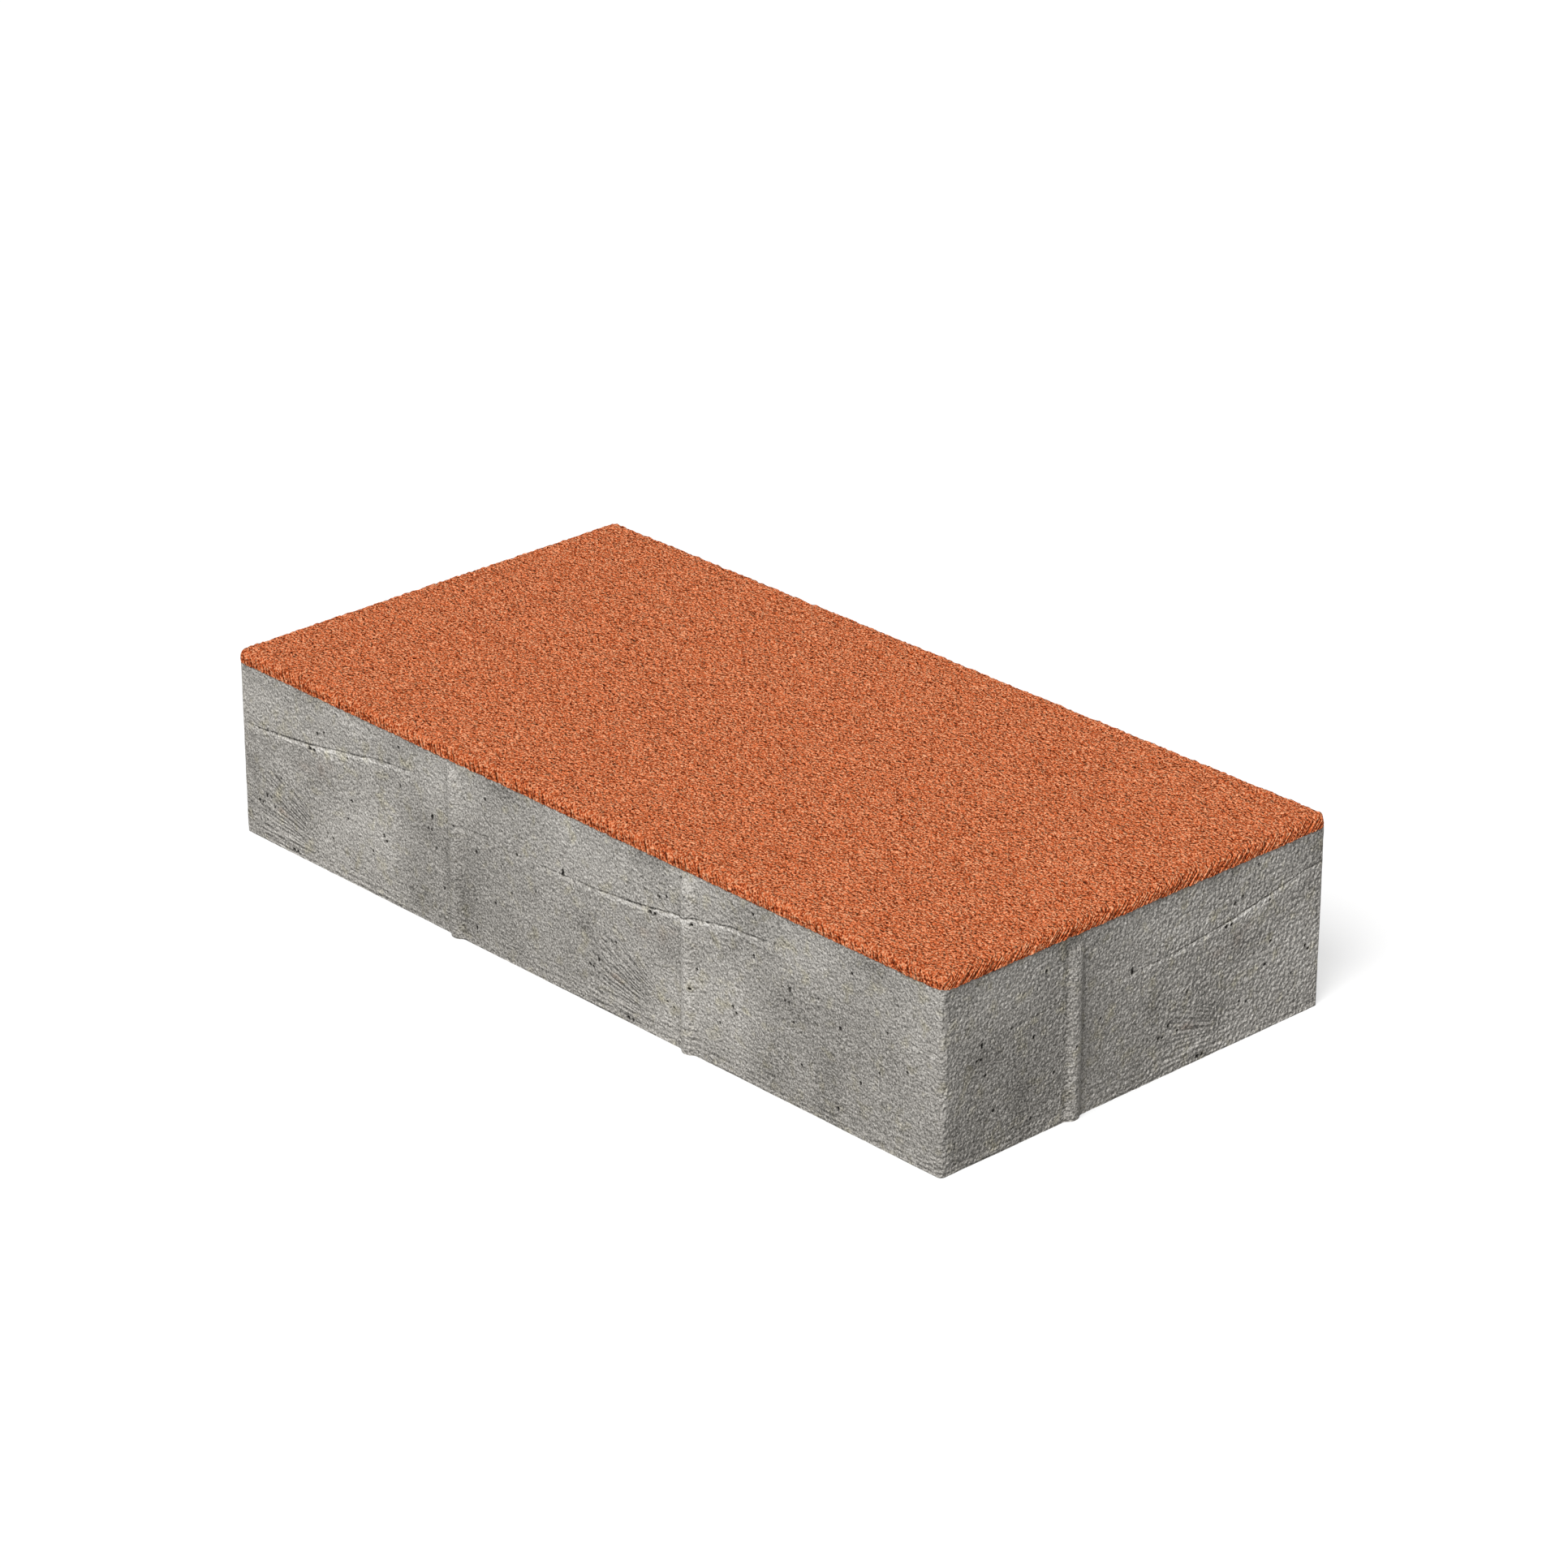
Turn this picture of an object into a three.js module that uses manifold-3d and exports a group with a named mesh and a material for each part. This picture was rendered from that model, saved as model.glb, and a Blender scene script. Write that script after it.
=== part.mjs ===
// Concrete paving stone, pressed in two mixes: a grey backing concrete with spacer ribs on its
// sides, and a thin coloured facing mix that makes the wearing face.
//
// Millimetres, +Z up. The origin is the centre of the bedding face (the underside). X runs along
// the stone and Y across it. The stone is the same when it is turned half a turn about Z.

import * as THREE from 'three';
import { mergeVertices } from 'three/addons/utils/BufferGeometryUtils.js';
import Module from 'manifold-3d';

const wasm = await Module();
wasm.setup();

// ---------------------------------------------------------------- driving dimensions

const LENGTH = 200; // X, between the plain ends
const WIDTH = 100; // Y, between the plain sides
const HEIGHT = 40; // bedding face to wearing face
const FACING_DEPTH = 2.8; // the coloured mix, as it shows on the sides
const CORNER_RADIUS = 1; // vertical corners of the grey mix
const FACING_LIP = 0.2; // the coloured mix swells this far past the grey
const FACING_CORNER_RADIUS = 2; // vertical corners of the coloured mix
const FACE_EDGE_RADIUS = 1.5; // rounded edge of the wearing face

const RIB_PROUD = 1; // how far a spacer rib stands off its side
const RIB_CREST_RADIUS = 2.2; // outer round of the rib
const RIB_FOOT_RADIUS = 1.2; // hollow round where the rib meets the side
const RIB_TIP_GAP = 1.4; // from the tip of the rib's run-out up to the coloured mix
const RIB_RUN_OUT = 2.5; // length over which the rib fades into the side
const RIB_ROOT = 1; // how far the rib's solid reaches into the block that it is joined to

const LONG_SIDE_RIB_X = LENGTH / 6; // ribs stand on the third points of the long sides
const END_RIB_Y = WIDTH / 6; // one rib on each end, on opposite third points

const BACKING_GREY = 0x9c9994;
const FACING_TERRACOTTA = 0xc16e49;

// Facets
const CORNER_STEPS = 8; // per quarter round of a vertical corner
const ARC_DIVISIONS = CORNER_STEPS / 2; // a three.js path gives an arc two steps per division
const EDGE_STEPS = 8; // per quarter round of the face edge
const CREST_STEPS = 14;
const FOOT_STEPS = 6;
const RUN_OUT_STEPS = 8;

// ---------------------------------------------------------------- derived sizes

const BACKING_HEIGHT = HEIGHT - FACING_DEPTH;
const RIB_TIP_Z = BACKING_HEIGHT - RIB_TIP_GAP;
const RIB_FULL_Z = RIB_TIP_Z - RIB_RUN_OUT;
const HIDDEN_TIP = 0.02; // the last section of a run-out lies just under the side's surface

// ---------------------------------------------------------------- outlines

// Rounded rectangle, centred on the origin, counter-clockwise seen from above.
function roundedRectangle(length, width, radius) {
  const shape = new THREE.Shape();
  const x = length / 2 - radius;
  const y = width / 2 - radius;
  const quarter = Math.PI / 2;
  shape.absarc(x, y, radius, 0, quarter, false);
  shape.absarc(-x, y, radius, quarter, 2 * quarter, false);
  shape.absarc(-x, -y, radius, 2 * quarter, 3 * quarter, false);
  shape.absarc(x, -y, radius, 3 * quarter, 4 * quarter, false);
  shape.closePath();
  return shape;
}

// Points along one arc, both ends included, as [across, out] pairs.
function arcPoints(centreAcross, centreOut, radius, fromAngle, toAngle, steps) {
  return Array.from({ length: steps + 1 }, (_, i) => {
    const angle = fromAngle + ((toAngle - fromAngle) * i) / steps;
    return [centreAcross + radius * Math.cos(angle), centreOut + radius * Math.sin(angle)];
  });
}

// Half of the rib's width at its foot: the hollow foot rounds touch the side and the crest round.
const RIB_CENTRES = RIB_CREST_RADIUS + RIB_FOOT_RADIUS; // from crest centre to foot centre
const RIB_RISE = RIB_CENTRES - RIB_PROUD; // the part of that distance that runs outwards
const RIB_HALF_WIDTH = Math.sqrt(RIB_CENTRES ** 2 - RIB_RISE ** 2);
const RIB_TANGENT = Math.asin(RIB_HALF_WIDTH / RIB_CENTRES); // lean of the shared tangent point

// Outline of the rib from left to right: hollow foot, crest, hollow foot. "Across" runs along
// the side and "out" away from it, zero at the side's surface.
function ribOutline() {
  const up = Math.PI / 2;
  const leftFoot = arcPoints(
    -RIB_HALF_WIDTH, RIB_FOOT_RADIUS, RIB_FOOT_RADIUS, -up, -up + RIB_TANGENT, FOOT_STEPS);
  const crest = arcPoints(
    0, RIB_PROUD - RIB_CREST_RADIUS, RIB_CREST_RADIUS, up + RIB_TANGENT, up - RIB_TANGENT,
    CREST_STEPS);
  const rightFoot = arcPoints(
    RIB_HALF_WIDTH, RIB_FOOT_RADIUS, RIB_FOOT_RADIUS, -up - RIB_TANGENT, -up, FOOT_STEPS);
  return [...leftFoot, ...crest.slice(1, -1), ...rightFoot];
}

// ---------------------------------------------------------------- solids

// Closed skin over a stack of rings with equal point counts, the ends closed by fans. The rings
// run counter-clockwise seen from the last ring's end.
function loft(rings) {
  const count = rings[0].length;
  const positions = rings.flat().flatMap((p) => [p.x, p.y, p.z]);
  const indices = [];
  for (let r = 0; r + 1 < rings.length; r += 1) {
    for (let i = 0; i < count; i += 1) {
      const a = r * count + i;
      const b = r * count + ((i + 1) % count);
      indices.push(a, b, b + count, a, b + count, a + count);
    }
  }
  const closeEnd = (ring, first, flip) => {
    const centre = ring.reduce((sum, p) => sum.add(p), new THREE.Vector3());
    centre.divideScalar(count);
    const hub = positions.length / 3;
    positions.push(centre.x, centre.y, centre.z);
    for (let i = 0; i < count; i += 1) {
      const a = first + i;
      const b = first + ((i + 1) % count);
      indices.push(hub, flip ? b : a, flip ? a : b);
    }
  };
  closeEnd(rings[0], 0, true);
  closeEnd(rings.at(-1), (rings.length - 1) * count, false);
  const geometry = new THREE.BufferGeometry();
  geometry.setAttribute('position', new THREE.Float32BufferAttribute(positions, 3));
  geometry.setIndex(indices);
  return geometry;
}

function toSolid(geometry) {
  const bare = geometry.clone();
  bare.deleteAttribute('normal');
  bare.deleteAttribute('uv');
  const merged = mergeVertices(bare, 1e-4);
  return new wasm.Manifold(new wasm.Mesh({
    numProp: 3,
    vertProperties: new Float32Array(merged.attributes.position.array),
    triVerts: new Uint32Array(merged.index.array),
  }));
}

function toGeometry(solid) {
  const mesh = solid.getMesh();
  const geometry = new THREE.BufferGeometry();
  geometry.setAttribute('position', new THREE.BufferAttribute(mesh.vertProperties, 3));
  geometry.setIndex(new THREE.BufferAttribute(mesh.triVerts, 1));
  geometry.computeVertexNormals();
  return geometry;
}

// One spacer rib on a side in the plane Y = 0 that faces -Y, centred on X = 0. It stands full
// height from the bedding face, then its outline sinks smoothly into the side.
function spacerRib() {
  const outline = ribOutline();
  const section = (z, share) => {
    const sink = HIDDEN_TIP * (1 - share);
    return [
      ...outline.map(([across, out]) => new THREE.Vector3(across, sink - out * share, z)),
      new THREE.Vector3(RIB_HALF_WIDTH, RIB_ROOT, z),
      new THREE.Vector3(-RIB_HALF_WIDTH, RIB_ROOT, z),
    ];
  };
  const rings = [section(0, 1)];
  for (let i = 0; i <= RUN_OUT_STEPS; i += 1) {
    const along = i / RUN_OUT_STEPS;
    const share = 1 - THREE.MathUtils.smoothstep(along, 0, 1);
    rings.push(section(RIB_FULL_Z + RIB_RUN_OUT * along, share));
  }
  return loft(rings);
}

// Grey backing concrete: a straight pressed block with its ribs.
function backingConcrete() {
  const block = new THREE.ExtrudeGeometry(
    roundedRectangle(LENGTH, WIDTH, CORNER_RADIUS),
    { depth: BACKING_HEIGHT, bevelEnabled: false, curveSegments: ARC_DIVISIONS });
  const rib = spacerRib();
  const longSide = WIDTH / 2;
  const end = LENGTH / 2;
  const ribPlaces = [
    { x: -LONG_SIDE_RIB_X, y: -longSide, quarterTurns: 0 },
    { x: LONG_SIDE_RIB_X, y: -longSide, quarterTurns: 0 },
    { x: end, y: -END_RIB_Y, quarterTurns: 1 },
    { x: LONG_SIDE_RIB_X, y: longSide, quarterTurns: 2 },
    { x: -LONG_SIDE_RIB_X, y: longSide, quarterTurns: 2 },
    { x: -end, y: END_RIB_Y, quarterTurns: 3 },
  ];
  let solid = toSolid(block);
  for (const { x, y, quarterTurns } of ribPlaces) {
    const placed = rib.clone().rotateZ((quarterTurns * Math.PI) / 2).translate(x, y, 0);
    solid = solid.add(toSolid(placed));
  }
  return toGeometry(solid);
}

// Coloured facing mix: straight sides with a small lip over the grey, then a rounded edge all
// round the flat wearing face. Its own bottom is at Z = 0.
function facingMix() {
  const ring = (inset, z) => {
    const outline = roundedRectangle(
      LENGTH + 2 * (FACING_LIP - inset),
      WIDTH + 2 * (FACING_LIP - inset),
      FACING_CORNER_RADIUS - inset);
    const points = outline.extractPoints(ARC_DIVISIONS).shape.slice(0, -1);
    return points.map((p) => new THREE.Vector3(p.x, p.y, z));
  };
  const rings = [ring(0, 0)];
  for (let i = 0; i <= EDGE_STEPS; i += 1) {
    const angle = ((Math.PI / 2) * i) / EDGE_STEPS;
    const inset = FACE_EDGE_RADIUS * (1 - Math.cos(angle));
    rings.push(ring(inset, FACING_DEPTH - FACE_EDGE_RADIUS * (1 - Math.sin(angle))));
  }
  const geometry = loft(rings);
  geometry.computeVertexNormals();
  return geometry;
}

// ---------------------------------------------------------------- the stone

const stone = new THREE.Group();

const base = new THREE.Mesh(
  backingConcrete(),
  new THREE.MeshStandardMaterial({ color: BACKING_GREY, roughness: 0.95, metalness: 0 }));
base.name = 'base_block';
stone.add(base);

const facing = new THREE.Mesh(
  facingMix(),
  new THREE.MeshStandardMaterial({ color: FACING_TERRACOTTA, roughness: 0.95, metalness: 0 }));
facing.name = 'face_layer';
facing.position.z = BACKING_HEIGHT;
stone.add(facing);

export default stone;
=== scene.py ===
"""Concrete paving stone, 200 x 100 x 40 mm, pressed in two mixes.

The grey backing concrete and the terracotta facing mix are each one dense mesh, made here at the
size and place of the solid that it replaces. Lengths are in millimetres until a mesh is written.
"""
import math

import bmesh
import bpy
from mathutils import Matrix, Vector, noise


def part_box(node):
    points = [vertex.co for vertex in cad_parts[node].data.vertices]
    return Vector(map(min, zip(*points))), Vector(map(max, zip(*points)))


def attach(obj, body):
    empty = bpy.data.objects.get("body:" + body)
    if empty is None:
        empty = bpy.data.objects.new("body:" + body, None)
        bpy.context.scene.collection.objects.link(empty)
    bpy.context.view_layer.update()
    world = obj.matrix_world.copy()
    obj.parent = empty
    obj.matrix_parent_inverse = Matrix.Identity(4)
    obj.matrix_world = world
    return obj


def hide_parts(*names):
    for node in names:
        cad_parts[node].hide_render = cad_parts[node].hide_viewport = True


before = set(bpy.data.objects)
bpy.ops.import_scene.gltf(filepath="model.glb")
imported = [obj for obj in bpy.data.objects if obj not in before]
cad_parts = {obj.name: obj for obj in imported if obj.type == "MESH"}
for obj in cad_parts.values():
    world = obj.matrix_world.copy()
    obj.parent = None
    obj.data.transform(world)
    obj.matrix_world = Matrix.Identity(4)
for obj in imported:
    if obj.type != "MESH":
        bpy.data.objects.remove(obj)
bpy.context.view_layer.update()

MM = 0.001


# ---------------------------------------------------------------- sizes, in millimetres

def box_in_mm(node):
    """Lowest and highest corner of a node's solid."""
    low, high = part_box(node)
    return low / MM, high / MM


BACKING_LOW, BACKING_HIGH = box_in_mm("base_block")
FACING_LOW, FACING_HIGH = box_in_mm("face_layer")

RIB_PROUD = 1.0  # how far a spacer rib stands off its side
RIB_CREST_RADIUS = 2.2  # outer round of a rib
RIB_FOOT_RADIUS = 1.2  # hollow round where a rib meets the side
RIB_TIP_GAP = 1.4  # from the tip of the run-out up to the facing mix
RIB_RUN_OUT = 2.5  # length over which a rib fades into the side

BLOCK_HALF = Vector((BACKING_HIGH.x - RIB_PROUD, BACKING_HIGH.y - RIB_PROUD))
FACING_HALF = Vector((FACING_HIGH.x, FACING_HIGH.y))
CORNER_RADIUS = 1.0  # vertical corners of the mould
FACING_CORNER_RADIUS = 2.0
FACE_EDGE_RADIUS = 1.5  # rounded edge of the wearing face
INTERFACE_Z = BACKING_HIGH.z
TOP_Z = FACING_HIGH.z

LONG_RIBS = (-BLOCK_HALF.x / 3, BLOCK_HALF.x / 3)
END_RIBS = (-BLOCK_HALF.y / 3,)
# The four sides, counter-clockwise from the front: outward normal, direction along, half length
# along, distance from the middle, and where the ribs stand.
SIDES = (
    (Vector((0, -1)), Vector((1, 0)), BLOCK_HALF.x, BLOCK_HALF.y, LONG_RIBS),
    (Vector((1, 0)), Vector((0, 1)), BLOCK_HALF.y, BLOCK_HALF.x, END_RIBS),
    (Vector((0, 1)), Vector((-1, 0)), BLOCK_HALF.x, BLOCK_HALF.y, LONG_RIBS),
    (Vector((-1, 0)), Vector((0, -1)), BLOCK_HALF.y, BLOCK_HALF.x, END_RIBS),
)
END_SIDES = (1, 3)


# ---------------------------------------------------------------- mesh helpers

CREASE_ANGLE = math.radians(75)  # edges sharper than this aren't shaded smooth


def spread(stops, fine, coarse):
    """Places along a line through stops, (place, is the stretch after it fine) pairs."""
    places = []
    for (low, is_fine), (high, _) in zip(stops, stops[1:]):
        count = max(1, round((high - low) / (fine if is_fine else coarse)))
        places += [low + (high - low) * i / count for i in range(count)]
    return places + [stops[-1][0]]


def rounded_point(x, y, z, half, corner, edge, top):
    """The point of a rounded block that belongs to a point of its sharp box, and its normal.

    corner is the radius of the vertical corners, edge that of the edge round the top.
    """
    centre = Vector((
        min(max(x, corner - half.x), half.x - corner),
        min(max(y, corner - half.y), half.y - corner)))
    off = Vector((x, y)) - centre
    core_radius = corner - edge
    if off.length > core_radius:
        off *= core_radius / off.length
    core = Vector((centre.x + off.x, centre.y + off.y, min(z, top - edge)))
    normal = (Vector((x, y, z)) - core).normalized()
    return core + normal * edge, normal


def smooth(x):
    """0 below 0, 1 above 1, and an even rise between."""
    x = min(max(x, 0.0), 1.0)
    return x * x * (3 - 2 * x)


def place_piece(name, mesh):
    """A smooth shaded object of a mesh in metres."""
    mesh.shade_smooth()
    mesh.set_sharp_from_angle(angle=CREASE_ANGLE)
    piece = bpy.data.objects.new(name, mesh)
    bpy.context.scene.collection.objects.link(piece)
    return piece


def make_piece(name, points, faces):
    """An object from points in millimetres and the faces between them."""
    mesh = bpy.data.meshes.new(name)
    mesh.from_pydata([p * MM for p in points], [], faces)
    mesh.validate()
    return place_piece(name, mesh)


def keep_numbers(mesh, name, values):
    """Stores one number per vertex, for the material."""
    mesh.attributes.new(name, "FLOAT", "POINT").data.foreach_set("value", values)


# ---------------------------------------------------------------- facing mix

FACING_STEP = 0.52  # mesh spacing on the wearing face
EDGE_STEP = 0.36  # finer across the rounded edge
EDGE_BAND = 3.6  # width of the finer band

COARSE_GRAIN = 1.25  # width of the crushed sand's largest grains
FINE_GRAIN = 0.8
COARSE_RISE = 0.19  # how far each stands out
FINE_RISE = 0.34
PRESSED_FLAT = 0.6  # share of that relief which the mould wall takes off the sides

# The mould wall drags the sides of the facing mix up into tufts, which lean along the side.
TUFT_WIDTH = 0.85
TUFT_LENGTH = 8.0
TUFT_RISE = 0.27
END_LEAN = 1.0  # millimetres along the side for each one up
LONG_SIDE_LEAN = -0.2
# The fine tufts between them, and the share of the fine sand that is pressed flat there
FINE_TUFT_WIDTH = 0.6
FINE_TUFT_LENGTH = 6.0
FINE_PRESSED_FLAT = 0.7

# The line between the two mixes wanders up and down.
WANDER_LENGTH = 2.4
WANDER_RISE = 0.07
WANDER_SEED = 7.0
INTERFACE_LAP = 0.02  # how far the facing mix laps over the grey


def tuft_lean(point, normal):
    """How far along its side a tuft has come at this height."""
    on_end = normal.x ** 2
    on_long_side = normal.y ** 2
    lean = (END_LEAN * on_end + LONG_SIDE_LEAN * on_long_side) / max(on_end + on_long_side, 1e-6)
    return lean * (point.z - INTERFACE_Z)


def facing_relief(point, normal):
    """Height of the granular surface over its mean."""
    distances, _ = noise.voronoi(point / COARSE_GRAIN)
    grain = 0.5 - distances[0]
    sand = noise.noise(point / FINE_GRAIN)
    tufts = noise.noise(Vector((
        (point.x + point.y - tuft_lean(point, normal)) / TUFT_WIDTH,
        (point.x - point.y + point.z) / TUFT_LENGTH,
        0.0)))
    side = 1 - abs(normal.z)
    granular = (COARSE_RISE * grain + FINE_RISE * sand) * (1 - PRESSED_FLAT * side)
    return granular + TUFT_RISE * side * tufts


def facing_piece():
    """The facing mix: a box grid bent over the rounded edges, then roughened by its grains."""
    def places(half):
        stops = [(-half, True), (EDGE_BAND - half, False), (half - EDGE_BAND, True), (half, True)]
        return spread(stops, EDGE_STEP, FACING_STEP)

    xs = places(FACING_HALF.x)
    ys = places(FACING_HALF.y)
    zs = spread([(INTERFACE_Z, True), (TOP_Z, True)], EDGE_STEP, FACING_STEP)
    last_x = len(xs) - 1
    last_y = len(ys) - 1
    last_z = len(zs) - 1
    numbers = {}
    points = []
    relief = []
    side = []
    lean = []

    def vertex(i, j, k):
        """Number of the vertex at a corner of the box grid, made when it is first asked for."""
        if (i, j, k) not in numbers:
            numbers[i, j, k] = len(points)
            point, normal = rounded_point(
                xs[i], ys[j], zs[k], FACING_HALF, FACING_CORNER_RADIUS, FACE_EDGE_RADIUS, TOP_Z)
            rise = facing_relief(point, normal)
            points.append(point + normal * rise)
            relief.append(rise)
            side.append(1 - abs(normal.z))
            lean.append(tuft_lean(point, normal))
        return numbers[i, j, k]

    faces = []
    for i in range(last_x):
        for j in range(last_y):
            faces.append((
                vertex(i, j, last_z), vertex(i + 1, j, last_z),
                vertex(i + 1, j + 1, last_z), vertex(i, j + 1, last_z)))
    for k in range(last_z):
        for i in range(last_x):
            for j, a, b in ((0, i, i + 1), (last_y, i + 1, i)):
                faces.append((
                    vertex(a, j, k), vertex(b, j, k), vertex(b, j, k + 1), vertex(a, j, k + 1)))
        for j in range(last_y):
            for i, a, b in ((last_x, j, j + 1), (0, j + 1, j)):
                faces.append((
                    vertex(i, a, k), vertex(i, b, k), vertex(i, b, k + 1), vertex(i, a, k + 1)))
    rim = (
        [(i, 0) for i in range(last_x)] + [(last_x, j) for j in range(last_y)]
        + [(i, last_y) for i in range(last_x, 0, -1)] + [(0, j) for j in range(last_y, 0, -1)])
    for i, j in rim:
        point = points[vertex(i, j, 0)]
        wander = noise.noise(Vector((point.x / WANDER_LENGTH, point.y / WANDER_LENGTH, WANDER_SEED)))
        point.z += WANDER_RISE * wander - INTERFACE_LAP
    faces.append([vertex(i, j, 0) for i, j in reversed(rim)])
    piece = make_piece("facing_mix", points, faces)
    keep_numbers(piece.data, "relief", relief)
    keep_numbers(piece.data, "side", side)
    keep_numbers(piece.data, "lean", lean)
    return piece


# ---------------------------------------------------------------- marks on the pressed sides

# The sides carry the marks of the mould wall, which come back at this distance along a side.
MARKS_LENGTH = 101.0
# Where the marks start on each side, counter-clockwise from the front.
MARKS_START = (100.0, 100.0, 36.0, 71.0)

# Air holes: place along, height over the bedding, half width and half height.
AIR_HOLES = (
    (22.2, 25.4, 0.42, 0.36), (23.5, 25.4, 0.34, 0.30), (24.5, 29.2, 0.32, 0.28),
    (26.6, 30.0, 0.26, 0.24), (33.9, 27.0, 0.26, 0.22), (34.8, 18.1, 0.30, 0.24),
    (12.2, 15.4, 0.27, 0.26), (7.3, 10.1, 0.27, 0.34), (4.8, 8.3, 0.30, 0.26),
    (5.8, 8.1, 0.24, 0.20), (9.8, 8.3, 0.22, 0.18), (15.5, 0.9, 0.42, 0.30),
    (16.8, 0.9, 0.28, 0.28), (59.8, 23.1, 0.28, 0.52), (98.3, 24.6, 0.26, 0.80),
    (73.0, 20.2, 0.28, 0.36), (60.8, 16.8, 0.26, 0.24), (75.9, 32.3, 0.26, 0.28),
    (50.0, 34.7, 0.28, 0.26), (90.2, 17.9, 0.22, 0.28), (78.3, 11.2, 0.27, 0.28),
    (72.6, 3.9, 0.24, 0.36), (28.4, 7.8, 0.26, 0.20), (26.6, 8.4, 0.24, 0.20),
    (33.4, 13.8, 0.34, 0.24), (44.6, 13.9, 0.32, 0.36), (45.4, 13.0, 0.28, 0.28),
    (85.0, 23.8, 0.26, 0.26), (58.5, 20.4, 0.20, 0.24), (59.6, 20.4, 0.20, 0.26),
    (63.0, 9.0, 0.24, 0.30), (50.2, 26.4, 0.22, 0.30), (30.6, 35.3, 0.24, 0.22),
    (83.2, 15.0, 0.20, 0.24), (67.3, 24.0, 0.18, 0.22), (41.0, 9.4, 0.22, 0.26))
HOLE_FLOOR = 0.75  # share of an air hole's half size at which its bottom ends
HOLE_MOUTH = 1.3  # and at which its wall has come up to the side

# Soft lighter (+) and darker (-) patches: place along, height, half width, half height, amount.
PATCHES = (
    (30.5, 26.6, 5.5, 1.5, 0.135), (40.0, 28.4, 3.0, 1.3, 0.108), (43.0, 15.5, 8.0, 7.0, 0.074),
    (32.5, 13.0, 8.0, 6.0, 0.068), (27.0, 4.0, 6.0, 5.0, 0.047), (8.0, 30.0, 12.0, 5.0, 0.068),
    (35.0, 34.0, 8.0, 3.0, 0.074), (61.0, 31.0, 4.5, 5.0, 0.061), (68.5, 30.0, 4.5, 6.0, 0.054),
    (99.0, 35.0, 5.0, 3.5, 0.081), (95.0, 24.5, 7.0, 2.5, 0.041), (2.9, 15.6, 2.6, 2.4, -0.095),
    (6.0, 9.0, 5.0, 7.0, -0.047), (18.5, 9.0, 4.5, 5.5, -0.081), (27.0, 19.8, 4.0, 3.0, -0.061),
    (18.0, 21.0, 9.0, 3.5, -0.027), (45.0, 26.0, 2.4, 2.2, -0.054), (59.0, 20.0, 7.0, 3.5, -0.088),
    (57.0, 8.0, 8.0, 7.0, -0.068), (55.5, 4.0, 5.0, 4.0, -0.054), (70.0, 7.5, 3.6, 8.0, -0.108),
    (75.0, 15.0, 12.0, 10.0, -0.054), (81.6, 35.5, 3.4, 2.0, -0.135), (82.0, 6.0, 7.0, 4.0, -0.054),
    (18.5, 36.2, 1.6, 1.2, -0.108), (23.5, 36.0, 2.4, 1.3, -0.108), (48.5, 33.0, 5.0, 2.5, -0.054),
    (52.5, 36.0, 6.0, 1.2, -0.041), (25.0, 24.5, 7.0, 3.0, 0.04), (46.0, 10.5, 3.0, 5.0, 0.05),
    (99.0, 4.0, 6.0, 6.0, -0.05), (14.0, 3.0, 8.0, 2.5, 0.045), (2.0, 36.0, 6.0, 2.5, -0.045),
    (69.0, 23.0, 6.0, 3.0, -0.03), (82.5, 11.0, 2.5, 5.0, 0.04), (67.0, 2.0, 11.0, 2.5, -0.035),
    (33.0, 36.0, 3.0, 2.0, 0.04))
PATCH_END = 6  # square of the distance, in half sizes, past which a patch isn't seen

# Cold joints, where one fill of the mould ends on the last: (place along, height, strength).
UPPER_JOINT = (
    (0.0, 24.4, 0.5), (6.0, 24.6, 0.8), (12.0, 25.1, 0.9), (22.0, 26.2, 1.0), (27.0, 27.0, 1.0),
    (33.4, 28.1, 1.0), (35.6, 28.4, 1.0), (39.8, 29.2, 1.0), (44.5, 30.1, 0.9), (48.0, 30.3, 0.7),
    (52.5, 30.6, 0.5), (57.0, 31.3, 0.0),
    (62.0, 23.6, 0.0), (66.3, 23.9, 0.25), (74.0, 24.4, 0.45), (78.4, 24.9, 0.15), (82.0, 24.8, 0.0),
    (88.0, 24.1, 0.0), (92.0, 24.0, 0.35), (101.0, 24.4, 0.5))
LOWER_JOINT = (
    (0.0, 0.7, 0.6), (8.0, 1.2, 0.6), (18.5, 2.1, 0.5), (29.6, 3.4, 0.4), (33.0, 3.9, 0.0),
    (95.0, 0.5, 0.0), (101.0, 0.7, 0.6))

# Fan of strokes that the wiper left. They point away from its centre, to the upper left.
FAN_CENTRE = (38.0, 1.0)
FAN_REACH = (17.0, 30.0)  # nearest and farthest stroke from the centre
FAN_FADE = (5.0, 7.0)  # and the lengths over which they fade in and out
FAN_SPREAD = 0.5  # radians, up from level
FAN_SPREAD_FADE = (0.1, 0.2)

# Rusty grains: place along, height, half width, half height, strength.
RUST_SPOTS = (
    (12.0, 8.3, 1.1, 0.5, 0.5), (13.4, 7.7, 0.8, 0.4, 0.35), (25.4, 21.8, 1.2, 1.8, 0.22),
    (20.2, 20.6, 1.8, 0.9, 0.2), (28.2, 23.4, 1.4, 0.8, 0.15))

# How coarse the stipple is, with 1 for an ordinary stretch of a long side.
PLAIN_COARSENESS = 0.94
OPEN_ADDS = 0.2
RUBBED_TAKES = 0.2
END_COARSENESS = 2.3
END_RUBBED_TAKES = 0.9


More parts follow.
